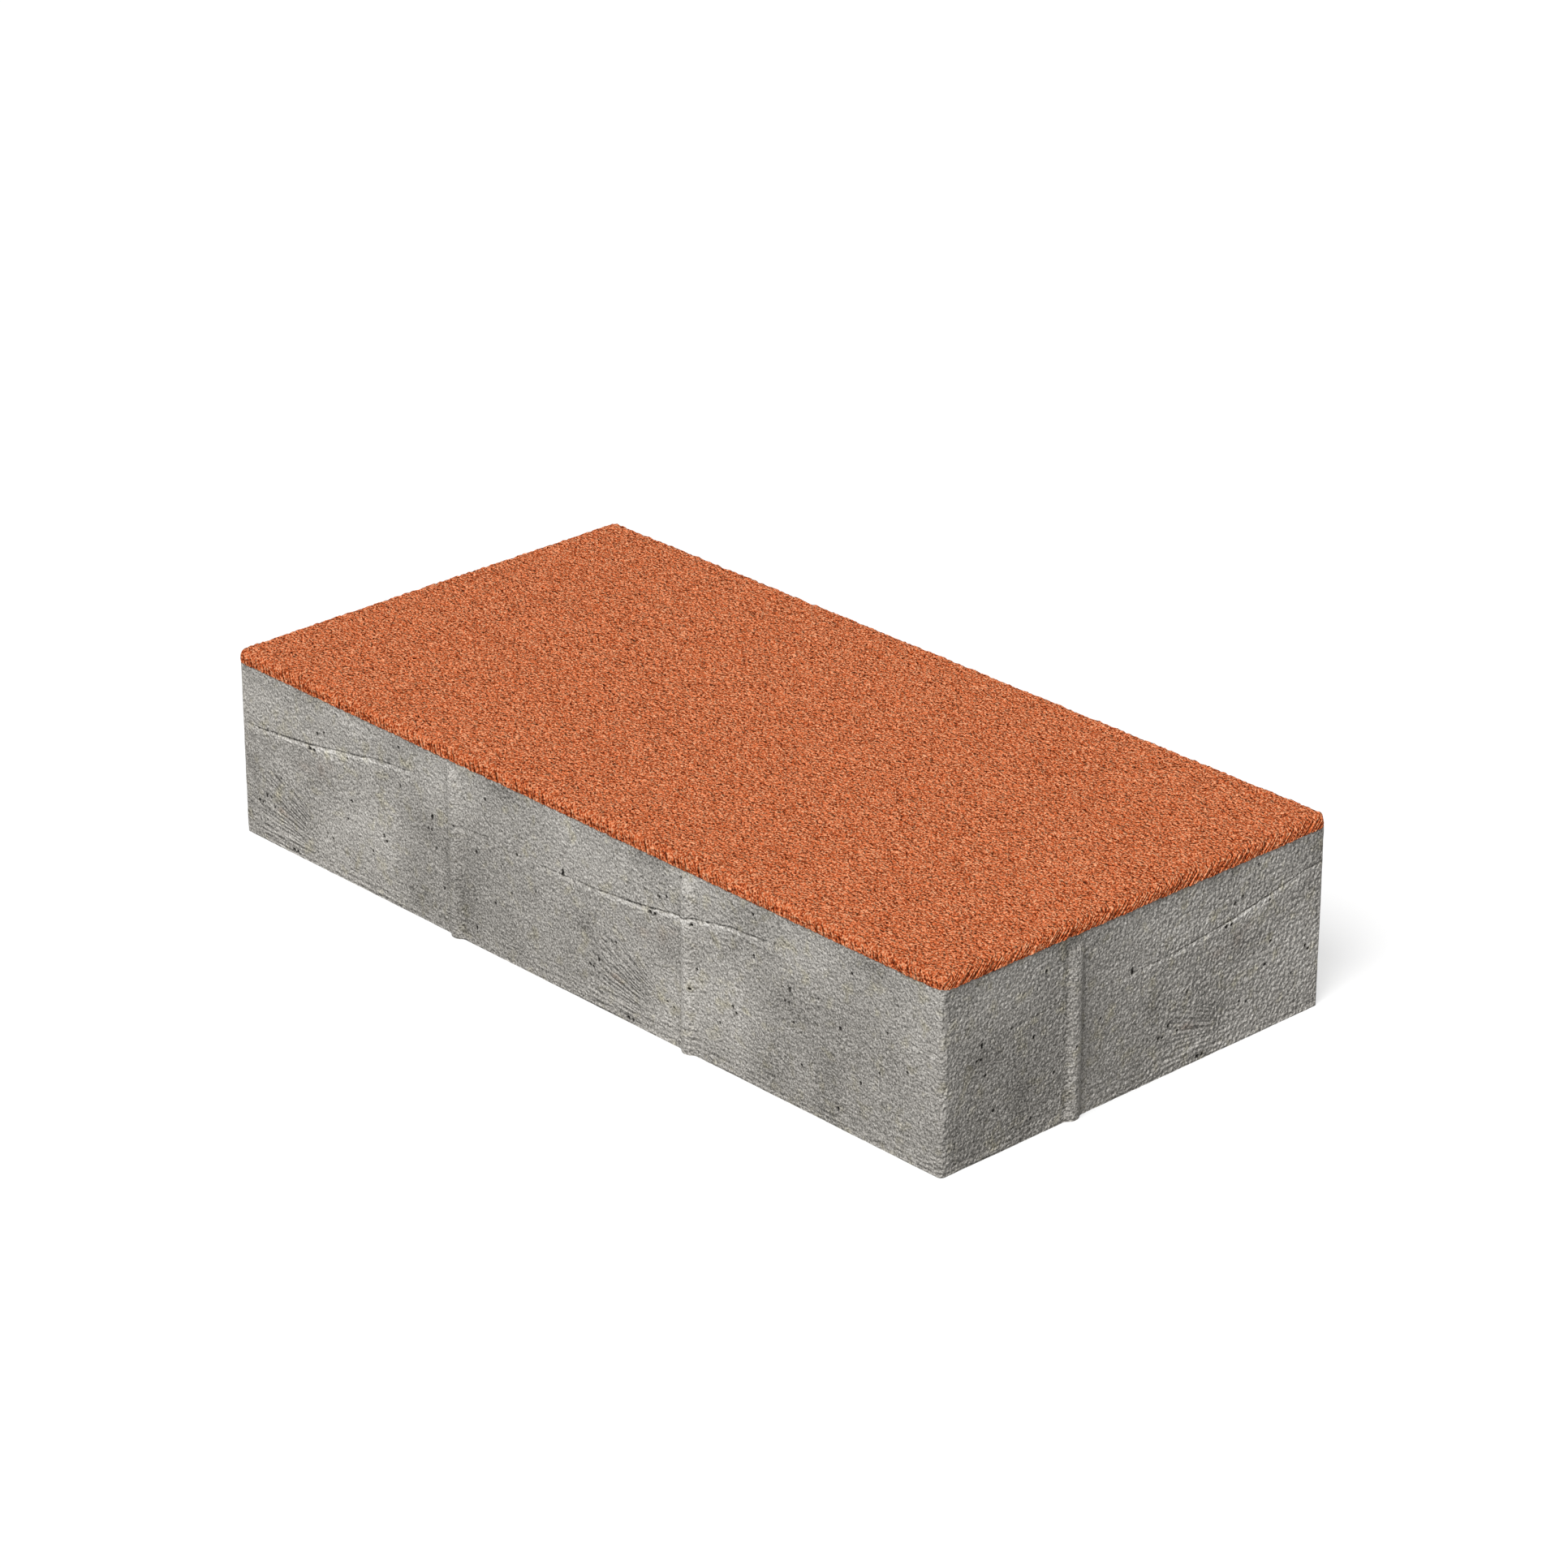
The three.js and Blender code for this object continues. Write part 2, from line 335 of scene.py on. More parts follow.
def place_on_side(point):
    """Side that a point of the block's skin is on, its place along that side and in the marks."""
    if abs(point.y) - BLOCK_HALF.y > abs(point.x) - BLOCK_HALF.x:
        side = 0 if point.y < 0 else 2
    else:
        side = 1 if point.x > 0 else 3
    along = SIDES[side][1].dot(point.xy)
    return side, along, (along + MARKS_START[side]) % MARKS_LENGTH


def gap_along(a, b):
    """From b to a along the marks, the short way round."""
    return (a - b + MARKS_LENGTH / 2) % MARKS_LENGTH - MARKS_LENGTH / 2


def on_path(path, along):
    """Height and strength of a joint at a place along the marks."""
    for (a, low, weak), (b, high, strong) in zip(path, path[1:]):
        if along <= b:
            share = (along - a) / (b - a)
            return low + (high - low) * share, weak + (strong - weak) * share
    return path[-1][1], path[-1][2]


def spot_distance(marks, z, place, height, half_width, half_height):
    """Square of the distance from the middle of a spot, in half sizes of the spot."""
    return (gap_along(marks, place) / half_width) ** 2 + ((z - height) / half_height) ** 2


def patch_tone(marks, z):
    """How much lighter or darker the soft patches make a point."""
    tone = 0.0
    for *spot, amount in PATCHES:
        away = spot_distance(marks, z, *spot)
        if away < PATCH_END:
            tone += amount * math.exp(-away)
    return tone


def rust(marks, z):
    """How rusty a point is."""
    stain = 0.0
    for *spot, strength in RUST_SPOTS:
        stain = max(stain, strength * math.exp(-spot_distance(marks, z, *spot)))
    return stain


def hole_depth(marks, z):
    """How deep in an air hole a point is, 0 outside and 1 at the bottom."""
    for spot in AIR_HOLES:
        away = math.sqrt(spot_distance(marks, z, *spot))
        if away < HOLE_MOUTH:
            return 1 - smooth((away - HOLE_FLOOR) / (HOLE_MOUTH - HOLE_FLOOR))
    return 0.0


def coarseness(side, marks, z):
    """How coarse the stipple is: open in the first half of the marks, rubbed smooth in the low
    part of the second half, and coarser on the ends than on the long sides."""
    rubbed = smooth((marks - 46) / 10)
    open_band = smooth((marks - 2) / 18) * (1 - rubbed)
    rubbed_band = rubbed * (1 - smooth((marks - 86) / 12)) * (1 - smooth((z - 26) / 6))
    on_side = END_COARSENESS - END_RUBBED_TAKES * rubbed if side in END_SIDES else 1.0
    return (PLAIN_COARSENESS + OPEN_ADDS * open_band - RUBBED_TAKES * rubbed_band) * on_side


def in_fan(radius, turn):
    """How strong the strokes are at a distance and turn from the centre of their fan."""
    near, far = FAN_REACH
    fade_in, fade_out = FAN_FADE
    low_fade, high_fade = FAN_SPREAD_FADE
    reached = smooth((radius - near) / fade_in) * (1 - smooth((radius - far) / fade_out))
    swept = smooth(turn / low_fade + 0.5) * (1 - smooth((turn - FAN_SPREAD) / high_fade))
    return reached * swept


# ---------------------------------------------------------------- backing concrete

BACKING_STEP = 0.58
RIB_STEP = 0.34  # finer across the ribs and round the corners
HOLE_CUTS = 3  # cuts through the edges of the faces round an air hole
HOLE_MARGIN = BACKING_STEP / 2 + 0.1  # how far past an air hole's mouth a face's middle may be
HOLE_DEPTH = 0.7
CORNER_FADE = 0.8  # length over which the marks fade out towards a corner

# Under the upper cold joint the side swells to a low ledge, and then falls back.
LEDGE_RISE = 0.15
LEDGE_EDGE = 0.45  # it is at its highest this far below the joint
LEDGE_TOP = 0.5  # from here on it falls
LEDGE_RUN = 3.0  # and over this length it is gone

# The sides aren't quite even: (wave length, height) of two sizes of unevenness.
UNEVENNESS = ((6.0, 0.06), (1.9, 0.05))

RIB_CENTRES = RIB_CREST_RADIUS + RIB_FOOT_RADIUS
RIB_HALF_WIDTH = math.sqrt(RIB_CENTRES ** 2 - (RIB_CENTRES - RIB_PROUD) ** 2)
RIB_TANGENT = RIB_CREST_RADIUS * RIB_HALF_WIDTH / RIB_CENTRES  # where crest and foot rounds meet
RIB_FULL_Z = INTERFACE_Z - RIB_TIP_GAP - RIB_RUN_OUT  # up to here a rib stands full height

# Shade is painted into the hollow feet of a rib, most into the one on its left.
FOOT_SHADE_HALF_WIDTH = 0.55
FOOT_SHADE_MIDDLE = 0.1  # inside the foot's edge
RIGHT_FOOT_SHADE = 0.45

# Numbers that the backing's mesh keeps at each vertex, for its material
BACKING_NUMBERS = (
    "tone", "hole", "upper_gap", "upper_joint", "lower_gap", "lower_joint",
    "fan_turn", "fan_radius", "fan", "rib", "rib_foot_shade", "rust", "coarse")


def still_stands(z):
    """Share of its height that a rib still has, z over the bedding."""
    return 1 - smooth((z - RIB_FULL_Z) / RIB_RUN_OUT)


def rib_height(across, z):
    """How far a rib stands off the side, across from its middle line and z over the bedding."""
    across = abs(across)
    if across < RIB_TANGENT:
        profile = math.sqrt(RIB_CREST_RADIUS ** 2 - across ** 2) - RIB_CREST_RADIUS + RIB_PROUD
    elif across < RIB_HALF_WIDTH:
        profile = RIB_FOOT_RADIUS - math.sqrt(RIB_FOOT_RADIUS ** 2 - (RIB_HALF_WIDTH - across) ** 2)
    else:
        return 0.0
    return profile * still_stands(z)


def rib_foot_shade(across, z):
    """How deep in the hollow foot of a rib a point is, for the shade painted there."""
    into = (abs(across) - RIB_HALF_WIDTH + FOOT_SHADE_MIDDLE) / FOOT_SHADE_HALF_WIDTH
    share = 1.0 if across < 0 else RIGHT_FOOT_SHADE
    return share * math.exp(-into * into) * still_stands(z)


def near_hole(face):
    """Is a face of the skin close enough to an air hole to be cut finer?"""
    middle = face.calc_center_median()
    marks = place_on_side(middle)[2]
    for place, height, half_width, half_height in AIR_HOLES:
        if abs(gap_along(marks, place)) < half_width * HOLE_MOUTH + HOLE_MARGIN and (
                abs(middle.z - height) < half_height * HOLE_MOUTH + HOLE_MARGIN):
            return True
    return False


def backing_skin():
    """Rings round the plain sides, closer at ribs, corners and air holes, and the two ends."""
    columns = []
    for out, along, half, distance, ribs in SIDES:
        zone = RIB_HALF_WIDTH + RIB_STEP
        stops = [(-half, True), (CORNER_RADIUS - half, False)]
        for rib in ribs:
            stops += [(rib - zone, True), (rib + zone, False)]
        stops += [(half - CORNER_RADIUS, True), (half, True)]
        places = spread(stops, RIB_STEP, BACKING_STEP)[:-1]
        columns += [out * distance + along * place for place in places]
    heights = spread([(0, False), (INTERFACE_Z, False)], RIB_STEP, BACKING_STEP)
    skin = bmesh.new()
    rings = []
    for z in heights:
        rings.append([
            skin.verts.new(rounded_point(
                sharp.x, sharp.y, z, BLOCK_HALF, CORNER_RADIUS, CORNER_RADIUS, math.inf)[0])
            for sharp in columns])
    for lower, upper in zip(rings, rings[1:]):
        for i in range(len(columns)):
            skin.faces.new((lower[i - 1], lower[i], upper[i], upper[i - 1]))
    near_holes = set()
    for face in skin.faces:
        if near_hole(face):
            near_holes.update(face.edges)
    bmesh.ops.subdivide_edges(skin, edges=list(near_holes), cuts=HOLE_CUTS, use_grid_fill=True)
    bmesh.ops.edgeloop_fill(skin, edges=[edge for edge in skin.edges if edge.is_boundary])
    bmesh.ops.recalc_face_normals(skin, faces=skin.faces)
    return skin


def backing_piece():
    """The grey block: its skin, with the ribs, the ledge under the joint and the air holes."""
    skin = backing_skin()
    kept = {name: [] for name in BACKING_NUMBERS}
    for vertex in skin.verts:
        x, y, z = vertex.co
        _, normal = rounded_point(x, y, z, BLOCK_HALF, CORNER_RADIUS, CORNER_RADIUS, math.inf)
        side, along, marks = place_on_side(vertex.co)
        _, _, half, _, rib_places = SIDES[side]
        inside = smooth((half - CORNER_RADIUS - abs(along)) / CORNER_FADE)
        hole = hole_depth(marks, z) * inside
        upper_z, upper = on_path(UPPER_JOINT, marks)
        lower_z, lower = on_path(LOWER_JOINT, marks)
        below = upper_z - z
        ledge = upper * smooth(below / LEDGE_EDGE) * (1 - smooth((below - LEDGE_TOP) / LEDGE_RUN))
        ribs = sum(rib_height(along - rib, z) for rib in rib_places)
        uneven = sum(rise * noise.noise(vertex.co / length) for length, rise in UNEVENNESS)
        vertex.co += normal * (ribs + uneven + LEDGE_RISE * ledge * inside - HOLE_DEPTH * hole)
        fan_x = gap_along(marks, FAN_CENTRE[0])
        fan_z = z - FAN_CENTRE[1]
        radius = math.hypot(fan_x, fan_z)
        turn = math.atan2(fan_z, -fan_x)
        numbers = {
            "tone": patch_tone(marks, z),
            "hole": hole,
            "upper_gap": z - upper_z,
            "upper_joint": upper * inside,
            "lower_gap": z - lower_z,
            "lower_joint": lower * inside,
            "fan_turn": turn,
            "fan_radius": radius,
            "fan": in_fan(radius, turn) * inside,
            "rib": min(ribs, 1.0),
            "rib_foot_shade": sum(rib_foot_shade(along - rib, z) for rib in rib_places),
            "rust": rust(marks, z),
            "coarse": coarseness(side, marks, z),
        }
        for name, value in numbers.items():
            kept[name].append(value)
    mesh = bpy.data.meshes.new("backing_concrete")
    skin.to_mesh(mesh)
    skin.free()
    mesh.transform(Matrix.Scale(MM, 4))
    for name, values in kept.items():
        keep_numbers(mesh, name, values)
    return place_piece("backing_concrete", mesh)


# ---------------------------------------------------------------- materials

def colour(code):
    """Linear colour of an sRGB hex code."""
    parts = [int(code[i:i + 2], 16) / 255 for i in (1, 3, 5)]
    return tuple(c / 12.92 if c <= 0.04045 else ((c + 0.055) / 1.055) ** 2.4 for c in parts) + (1.0,)


def cells(size):
    """Texture scale at which one cell or wave is size millimetres wide."""
    return 1 / (size * MM)


def add_node(tree, kind, inputs=None, stops=None, **settings):
    """Adds one node. inputs maps a socket to a value or to another node's output."""
    node = tree.nodes.new(kind)
    for name, value in settings.items():
        setattr(node, name, value)
    for socket, value in (inputs or {}).items():
        if isinstance(value, bpy.types.NodeSocket):
            tree.links.new(value, node.inputs[socket])
        else:
            node.inputs[socket].default_value = value
    if stops:
        while len(node.color_ramp.elements) < len(stops):
            node.color_ramp.elements.new(0.5)
        for element, (place, code) in zip(node.color_ramp.elements, stops):
            element.position = place
            element.color = colour(code)
    return node


# Sockets of a Mix node that mixes colours
MIX_SHARE, MIX_FIRST, MIX_SECOND, MIX_RESULT = 0, 6, 7, 2


def new_material(name):
    """A material with a Principled shader on its output."""
    material = bpy.data.materials.new(name)
    material.use_nodes = True
    material.cycles.use_bump_map_correction = False  # light that grazes a side catches each grain
    tree = material.node_tree
    return material, tree, tree.nodes["Principled BSDF"]


def terracotta_facing_mix():
    """Iron-oxide pigmented facing concrete of crushed sand up to 1 mm, pressed dry.

    To the eye: quite matt, each grain its own tone of burnt orange, the gaps between the grains
    and the hollows of the relief darkened with painted shade, and a few pale quartz ones. On the sides
    the grain is dragged up into leaning tufts.
    """
    material, tree, shader = new_material("terracotta_facing_mix")
    place = add_node(tree, "ShaderNodeTexCoord").outputs["Object"]
    relief = add_node(tree, "ShaderNodeAttribute", attribute_name="relief").outputs["Fac"]
    side = add_node(tree, "ShaderNodeAttribute", attribute_name="side").outputs["Fac"]
    lean = add_node(tree, "ShaderNodeAttribute", attribute_name="lean").outputs["Fac"]

    # Sand grains 0.6 to 0.7 mm wide, bent out of their regular cells
    bend = add_node(tree, "ShaderNodeTexNoise", {"Vector": place, "Scale": cells(1.4), "Detail": 1.0})
    bent = add_node(
        tree, "ShaderNodeVectorMath",
        {0: bend.outputs["Color"], 1: (0.9 * MM, 0.9 * MM, 0.9 * MM), 2: place},
        operation="MULTIPLY_ADD").outputs["Vector"]
    grains = add_node(tree, "ShaderNodeTexVoronoi", {"Vector": bent, "Scale": cells(0.72)})
    split = add_node(tree, "ShaderNodeSeparateColor", {"Color": grains.outputs["Color"]})
    sand = add_node(
        tree, "ShaderNodeTexNoise", {"Vector": bent, "Scale": cells(0.6), "Detail": 0.0})
    # Stone dust is finer than 0.1 mm. It is drawn at 0.36 mm, or it wouldn't show.
    dust = add_node(
        tree, "ShaderNodeTexNoise", {"Vector": place, "Scale": cells(0.36), "Detail": 0.0})
    # Uneven filling of the mould
    patches = add_node(
        tree, "ShaderNodeTexNoise", {"Vector": place, "Scale": cells(22), "Detail": 3.0})

    # Fine tufts of the sides, which lean along the side as they come up
    width = cells(FINE_TUFT_WIDTH)
    upright = add_node(
        tree, "ShaderNodeVectorMath", {0: place, 1: (width, width, 0.0)},
        operation="DOT_PRODUCT").outputs["Value"]
    across_tufts = add_node(
        tree, "ShaderNodeMath", {0: lean, 1: -1 / FINE_TUFT_WIDTH, 2: upright},
        operation="MULTIPLY_ADD").outputs[0]
    length = cells(FINE_TUFT_LENGTH)
    along_tufts = add_node(
        tree, "ShaderNodeVectorMath", {0: place, 1: (length, -length, length)},
        operation="DOT_PRODUCT").outputs["Value"]
    tuft_place = add_node(tree, "ShaderNodeCombineXYZ", {"X": across_tufts, "Y": along_tufts})
    tufts = add_node(
        tree, "ShaderNodeTexNoise",
        {"Vector": tuft_place.outputs["Vector"], "Scale": 1.0, "Detail": 0.0})
    pressed = add_node(
        tree, "ShaderNodeMath", {0: side, 1: -FINE_PRESSED_FLAT, 2: 1.0},
        operation="MULTIPLY_ADD").outputs[0]
    open_sand = add_node(
        tree, "ShaderNodeMath", {0: sand.outputs["Fac"], 1: pressed}, operation="MULTIPLY").outputs[0]
    tufts_on_side = add_node(
        tree, "ShaderNodeMath", {0: tufts.outputs["Fac"], 1: side}, operation="MULTIPLY").outputs[0]

    # About one grain in thirty is quartz
    quartz = add_node(
        tree, "ShaderNodeMapRange",
        {"Value": split.outputs["Green"], "From Min": 0.965, "From Max": 0.975})

    tone = -0.21
    for part, amount in (
            (split.outputs["Red"], 0.02), (sand.outputs["Fac"], 0.15), (dust.outputs["Fac"], 1.62),
            # grain distance and relief: painted shade in the gaps between the grains and in the hollows
            # of the mesh relief
            (grains.outputs["Distance"], -0.25), (relief, 0.10), (patches.outputs["Fac"], 0.02),
            (side, -0.280), (tufts_on_side, 0.45), (quartz.outputs["Result"], 0.16)):
        tone = add_node(
            tree, "ShaderNodeMath", {0: part, 1: amount, 2: tone}, operation="MULTIPLY_ADD").outputs[0]
    tones = add_node(
        tree, "ShaderNodeValToRGB", {"Fac": tone},
        stops=[(0.1, "#6B240C"), (0.3, "#AC4C24"), (0.45, "#C96334"), (0.6, "#DA7749"), (0.9, "#EEA87E")])

    height = 0.0  # millimetres
    for part, amount in (
            (open_sand, 1.50), (dust.outputs["Fac"], 0.32), (grains.outputs["Distance"], -0.40),
            (tufts_on_side, 2.0)):
        height = add_node(
            tree, "ShaderNodeMath", {0: part, 1: amount, 2: height}, operation="MULTIPLY_ADD").outputs[0]
    bump = add_node(tree, "ShaderNodeBump", {"Strength": 1.0, "Distance": MM, "Height": height})
    tree.links.new(tones.outputs["Color"], shader.inputs["Base Color"])
    tree.links.new(bump.outputs["Normal"], shader.inputs["Normal"])
    shader.inputs["Roughness"].default_value = 0.95
    shader.inputs["Specular IOR Level"].default_value = 0.15  # the open grain swallows the gloss
    return material


def grey_backing_concrete():
    """Earth-dry grey backing concrete, pressed against a steel mould.

    To the eye: matt warm grey, finely stippled, with soft lighter and darker patches, air holes
    darkened with painted shade, and the hairlines of cold joints.
    """
    material, tree, shader = new_material("grey_backing_concrete")
    place = add_node(tree, "ShaderNodeTexCoord").outputs["Object"]
    kept = {
        name: add_node(tree, "ShaderNodeAttribute", attribute_name=name).outputs["Fac"]
        for name in BACKING_NUMBERS}
    height_over_bed = add_node(tree, "ShaderNodeSeparateXYZ", {"Vector": place}).outputs["Z"]

    def grains(size, distortion):
        """Noise about zero, its grains size millimetres wide."""
        fac = add_node(
            tree, "ShaderNodeTexNoise",
            {"Vector": place, "Scale": cells(size), "Detail": 0.0, "Distortion": distortion}
        ).outputs["Fac"]
        return add_node(tree, "ShaderNodeMath", {0: fac, 1: 0.5}, operation="SUBTRACT").outputs[0]

    # The skin of cement and fine sand off the mould wall: grains of 0.5 mm, ripples of 0.8 mm,
    # and flecks under 0.2 mm, which are drawn at 0.32 mm so that they show.
    stipple = grains(0.53, 0.3)
    flecks = grains(0.32, 0.0)
    ripple = grains(0.78, 0.0)
    open_ripple = add_node(
        tree, "ShaderNodeMath", {0: ripple, 1: kept["coarse"]}, operation="MULTIPLY").outputs[0]

    # Uneven drying: clouds 24 mm wide, blotches of 5 mm and damp spots of 3 mm
    clouds = add_node(
        tree, "ShaderNodeTexNoise", {"Vector": place, "Scale": cells(24), "Detail": 5.0})
    blotches = add_node(
        tree, "ShaderNodeTexNoise", {"Vector": place, "Scale": cells(5), "Detail": 3.0})
    damp = add_node(
        tree, "ShaderNodeTexNoise", {"Vector": place, "Scale": cells(3), "Detail": 2.0})

    # The edges of a cold joint crumble in bits 2 mm long
    crumble = add_node(
        tree, "ShaderNodeTexNoise", {"Vector": place, "Scale": cells(2.2), "Detail": 2.0})
    broken = add_node(
        tree, "ShaderNodeMapRange",
        {"Value": crumble.outputs["Fac"], "From Min": 0.42, "From Max": 0.56,
         "To Min": 0.6, "To Max": 1.0})

    def along_joint(name, lift, inner, outer):
        """A broken line along a joint, lift millimetres above it, fading from inner to outer."""
        wavy = add_node(
            tree, "ShaderNodeMath", {0: crumble.outputs["Fac"], 1: 0.5, 2: kept[name + "_gap"]},
            operation="MULTIPLY_ADD").outputs[0]
        lifted = add_node(
            tree, "ShaderNodeMath", {0: wavy, 1: 0.25 + lift}, operation="SUBTRACT").outputs[0]
        away = add_node(tree, "ShaderNodeMath", {0: lifted}, operation="ABSOLUTE").outputs[0]
        near = add_node(
            tree, "ShaderNodeMapRange",
            {"Value": away, "From Min": inner, "From Max": outer, "To Min": 1.0, "To Max": 0.0},
            interpolation_type="SMOOTHSTEP").outputs["Result"]
        strength = add_node(
            tree, "ShaderNodeMath", {0: kept[name + "_joint"], 1: broken.outputs["Result"]},
            operation="MULTIPLY").outputs[0]
        return add_node(
            tree, "ShaderNodeMath", {0: near, 1: strength}, operation="MULTIPLY").outputs[0]

    upper_crack = along_joint("upper", 0.0, 0.04, 0.26)
    # The band just under the upper joint: its bump is the ledge's lip, its lighter tone a painted
    # highlight on that lip.
    upper_lip_and_highlight = along_joint("upper", -0.65, 0.15, 0.6)
    lower_crack = along_joint("lower", 0.0, 0.04, 0.24)

    # Level drag lines, 0.6 mm apart and 16 mm long, strong near the bed and faint from 9 mm up
    stretched = add_node(
        tree, "ShaderNodeVectorMath", {0: place, 1: (cells(16), cells(16), cells(0.6))},
        operation="MULTIPLY")
    drag = add_node(
        tree, "ShaderNodeTexNoise",
        {"Vector": stretched.outputs["Vector"], "Scale": 1.0, "Detail": 0.0})
    drag_share = add_node(
        tree, "ShaderNodeMapRange",
        {"Value": height_over_bed, "From Min": 0.5 * MM, "From Max": 9 * MM,
         "To Min": 1.0, "To Max": 0.12})
    drag_mark = add_node(
        tree, "ShaderNodeMath", {0: drag.outputs["Fac"], 1: drag_share.outputs["Result"]},
        operation="MULTIPLY").outputs[0]

    # The wiper's strokes: 42 to a radian, 5.5 mm long
    fan_place = add_node(
        tree, "ShaderNodeCombineXYZ", {"X": kept["fan_turn"], "Y": kept["fan_radius"]})
    fan_scaled = add_node(
        tree, "ShaderNodeVectorMath", {0: fan_place.outputs["Vector"], 1: (42.0, 0.18, 1.0)},
        operation="MULTIPLY")
    fan = add_node(
        tree, "ShaderNodeTexNoise",
        {"Vector": fan_scaled.outputs["Vector"], "Scale": 1.0, "Detail": 0.0})
    fan_mark = add_node(
        tree, "ShaderNodeMath", {0: fan.outputs["Fac"], 1: kept["fan"]},
        operation="MULTIPLY").outputs[0]

    tone = 0.347
    for part, amount in (
            (kept["tone"], 1.05), (clouds.outputs["Fac"], 0.13), (blotches.outputs["Fac"], 0.11),
            # hole: painted shade darkens the inside of the air holes
            (flecks, 0.84), (stipple, 0.10), (kept["coarse"], 0.025), (kept["hole"], -1.30),
            # the band under the upper joint: its lighter tone is a painted highlight
            (upper_crack, -0.40), (upper_lip_and_highlight, 0.20), (lower_crack, -0.14), (kept["rib"], 0.03),
            # the rib feet: painted shade in their hollows
            (kept["rib_foot_shade"], -0.07)):
        tone = add_node(
            tree, "ShaderNodeMath", {0: part, 1: amount, 2: tone}, operation="MULTIPLY_ADD").outputs[0]
    tones = add_node(
        tree, "ShaderNodeValToRGB", {"Fac": tone},
        stops=[(0.0, "#2E2B28"), (0.25, "#716E68"), (0.5, "#A19D97"), (0.7, "#C4C0B9"), (1.0, "#ECE9E4")])

    height = 0.0  # millimetres
    for part, amount in (
            (stipple, 0.38), (flecks, 0.08), (open_ripple, 0.30), (drag_mark, 0.50),
            (fan_mark, 0.90), (upper_crack, -0.20), (upper_lip_and_highlight, 0.08), (lower_crack, -0.07)):
        height = add_node(
            tree, "ShaderNodeMath", {0: part, 1: amount, 2: height}, operation="MULTIPLY_ADD").outputs[0]
    bump = add_node(tree, "ShaderNodeBump", {"Strength": 1.0, "Distance": MM, "Height": height})

    # A yellowish bloom of lime where it dried last, and rust round a few iron grains
    bloom_share = add_node(
        tree, "ShaderNodeMapRange",
        {"Value": damp.outputs["Fac"], "From Min": 0.56, "From Max": 0.8, "To Min": 0.0, "To Max": 1.0})
    bloomed = add_node(
        tree, "ShaderNodeMix",
        {MIX_SHARE: bloom_share.outputs["Result"], MIX_FIRST: tones.outputs["Color"],
         MIX_SECOND: colour("#FFFCE9")},
        data_type="RGBA", blend_type="MULTIPLY")
    rusty = add_node(
        tree, "ShaderNodeMix",
        {MIX_SHARE: kept["rust"], MIX_FIRST: bloomed.outputs[MIX_RESULT],
         MIX_SECOND: colour("#E9C3A6")},
        data_type="RGBA", blend_type="MULTIPLY")
    tree.links.new(rusty.outputs[MIX_RESULT], shader.inputs["Base Color"])
    tree.links.new(bump.outputs["Normal"], shader.inputs["Normal"])
    shader.inputs["Roughness"].default_value = 0.9
    return material


def white_studio_floor():
    """Matt paper: mid grey to the light that it throws back on the stone, and to the camera a
    bright white that keeps part of the shadow."""
    material, tree, shader = new_material("white_studio_floor")
    path = add_node(tree, "ShaderNodeLightPath")
    paper = add_node(
        tree, "ShaderNodeMix",
        {MIX_SHARE: path.outputs["Is Camera Ray"], MIX_FIRST: colour("#ADADAD"),
         MIX_SECOND: colour("#FFFFFF")},
        data_type="RGBA")
    tree.links.new(paper.outputs[MIX_RESULT], shader.inputs["Base Color"])
    shader.inputs["Roughness"].default_value = 1.0
    shader.inputs["Specular IOR Level"].default_value = 0.0
    glow = add_node(tree, "ShaderNodeEmission", {"Color": colour("#FFFFFF"), "Strength": 1.0})
    share = add_node(
        tree, "ShaderNodeMath", {0: path.outputs["Is Camera Ray"], 1: 0.6}, operation="MULTIPLY")
    seen = add_node(
        tree, "ShaderNodeMixShader",
        {0: share.outputs[0], 1: shader.outputs["BSDF"], 2: glow.outputs["Emission"]})
    tree.links.new(seen.outputs["Shader"], tree.nodes["Material Output"].inputs["Surface"])
    return material


# ---------------------------------------------------------------- studio

CAMERA_AZIMUTH = math.radians(46.95)
CAMERA_ELEVATION = math.radians(24.575)
CAMERA_DISTANCE = 1014.0
CAMERA_AIM = Vector((3.2, 2.4, 28.3))
CAMERA_LENS = 120.42  # on a sensor 36 mm wide

# Lights: direction from the stone to the light, and strength. A matt surface that faces a light
# of strength pi shows its own colour.
KEY_LIGHT = (Vector((0.228, -0.595, 0.771)), 1.115 * math.pi)
LEFT_FILL = (Vector((-0.94, 0.10, 0.33)), 0.29 * math.pi)
BACK_FILL = (Vector((-0.10, 0.96, 0.26)), 0.24 * math.pi)
LIGHT_SOFTNESS = math.radians(30)
SKY_STRENGTH = 0.15
FLOOR_SIZE = 8000.0


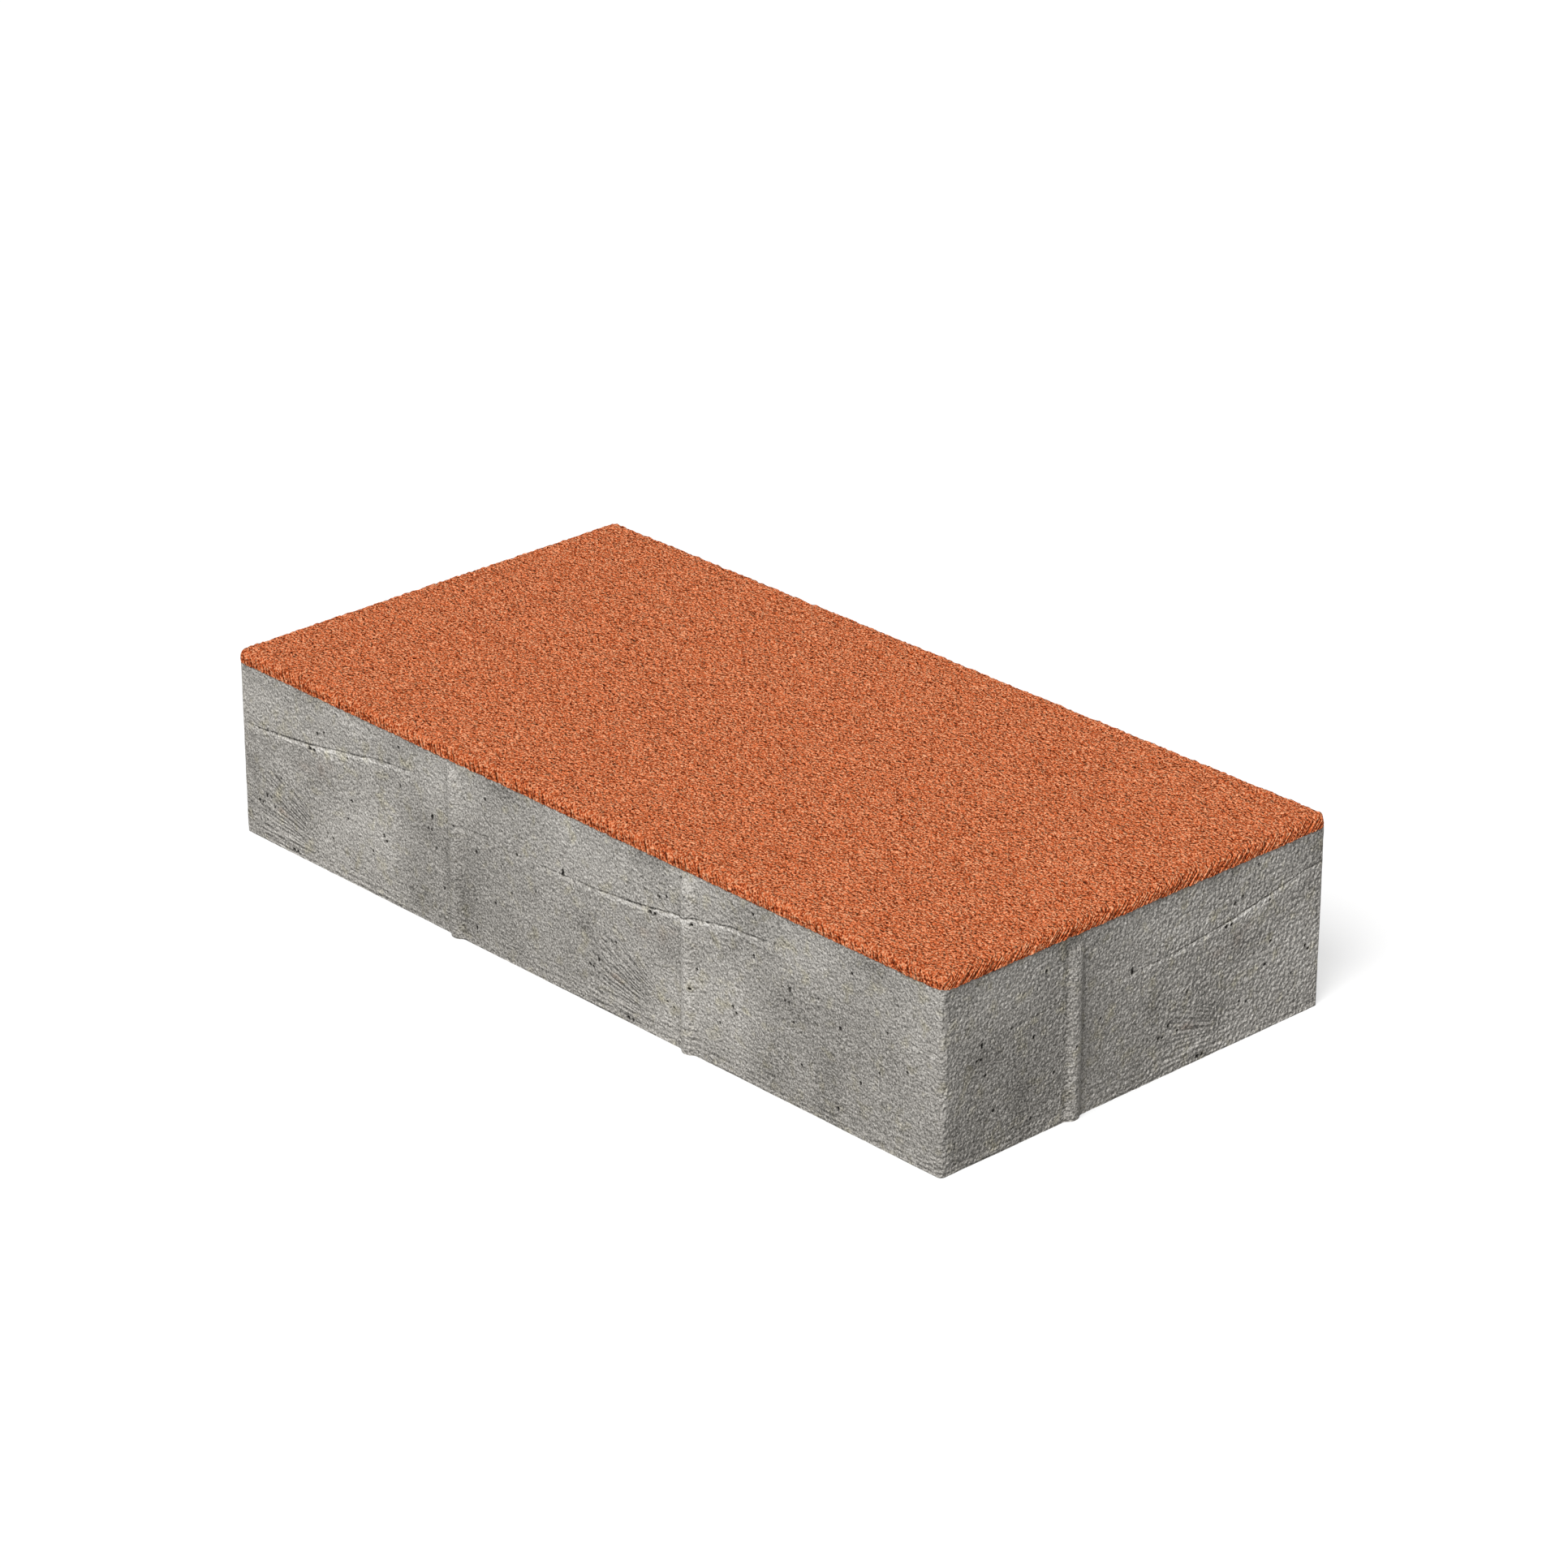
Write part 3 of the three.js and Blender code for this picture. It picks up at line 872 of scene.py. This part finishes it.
def stand_camera():
    """Looks at the stone past its front corner, from above."""
    back = Vector((
        math.sin(CAMERA_AZIMUTH) * math.cos(CAMERA_ELEVATION),
        -math.cos(CAMERA_AZIMUTH) * math.cos(CAMERA_ELEVATION),
        math.sin(CAMERA_ELEVATION)))
    data = bpy.data.cameras.new("camera")
    data.lens = CAMERA_LENS
    camera = bpy.data.objects.new("camera", data)
    camera.location = (CAMERA_AIM + back * CAMERA_DISTANCE) * MM
    camera.rotation_euler = back.to_track_quat("Z", "Y").to_euler()
    bpy.context.scene.collection.objects.link(camera)
    bpy.context.scene.camera = camera


def hang_lights():
    """A large key light high over the front side, two weak fills, and an even white room."""
    for name, (direction, strength) in (
            ("key_light", KEY_LIGHT), ("left_fill", LEFT_FILL), ("back_fill", BACK_FILL)):
        data = bpy.data.lights.new(name, "SUN")
        data.energy = strength
        data.angle = LIGHT_SOFTNESS
        light = bpy.data.objects.new(name, data)
        light.rotation_euler = direction.to_track_quat("Z", "Y").to_euler()
        bpy.context.scene.collection.objects.link(light)

    world = bpy.data.worlds.new("studio")
    bpy.context.scene.world = world
    world.use_nodes = True
    tree = world.node_tree
    background = tree.nodes["Background"]
    background.inputs["Color"].default_value = colour("#FFFFFF")
    path = add_node(tree, "ShaderNodeLightPath")
    strength = add_node(
        tree, "ShaderNodeMapRange",
        {"Value": path.outputs["Is Camera Ray"], "To Min": SKY_STRENGTH, "To Max": 1.0})
    tree.links.new(strength.outputs["Result"], background.inputs["Strength"])


def lay_floor():
    """A level sheet of white paper under the stone."""
    half = FLOOR_SIZE / 2
    corners = [Vector((x, y, 0)) for x, y in ((-half, -half), (half, -half), (half, half), (-half, half))]
    floor = make_piece("floor", corners, [(0, 1, 2, 3)])
    floor.data.materials.append(white_studio_floor())


# ---------------------------------------------------------------- the stone

stand_camera()
hang_lights()
lay_floor()

facing = facing_piece()
facing.data.materials.append(terracotta_facing_mix())
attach(facing, "root")
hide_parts("face_layer")

backing = backing_piece()
backing.data.materials.append(grey_backing_concrete())
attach(backing, "root")
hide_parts("base_block")

bpy.context.scene.view_settings.view_transform = "Standard"
